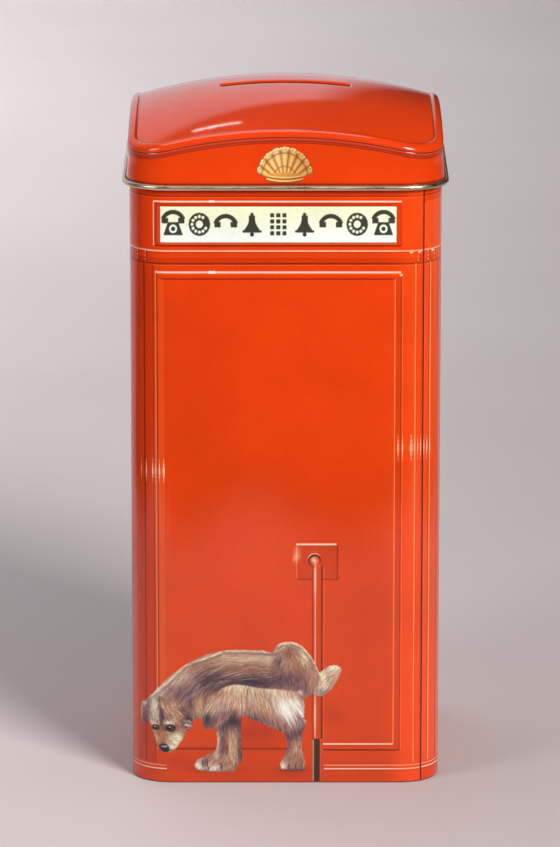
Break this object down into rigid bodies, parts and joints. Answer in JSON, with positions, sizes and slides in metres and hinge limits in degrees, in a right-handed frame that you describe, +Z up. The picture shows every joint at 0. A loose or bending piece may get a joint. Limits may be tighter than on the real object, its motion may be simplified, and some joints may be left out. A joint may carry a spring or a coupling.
{
  "type": "money box",
  "caption": "Upright square tin money box shaped like a street telephone kiosk, with rounded corners, a recessed base and a domed lift-off lid with a coin slot.",
  "frame": {"origin": "centre of the foot, on the ground", "axes": "+Z up, -Y out of the front face that carries the printed animal, +X to the right seen from the front"},
  "size_m": [0.0774, 0.0774, 0.1652],
  "materials": {
    "red_lacquered_tin": "gloss red lacquer with printed mouldings",
    "red_lacquered_lid": "gloss red lacquer outside, bare tinplate inside and on the rolled edge",
    "bare_tinplate": "satin bare tinplate"
  },
  "bodies": {
    "tin": {"body_wall": "red_lacquered_tin", "base_panel": "bare_tinplate"},
    "lid": {"lid": "red_lacquered_lid"}
  },
  "joints": [
    {"name": "lid_lift", "type": "slide", "parent": "tin", "child": "lid", "axis": [0, 0, 1], "range_m": [0, 0.05]}
  ]
}
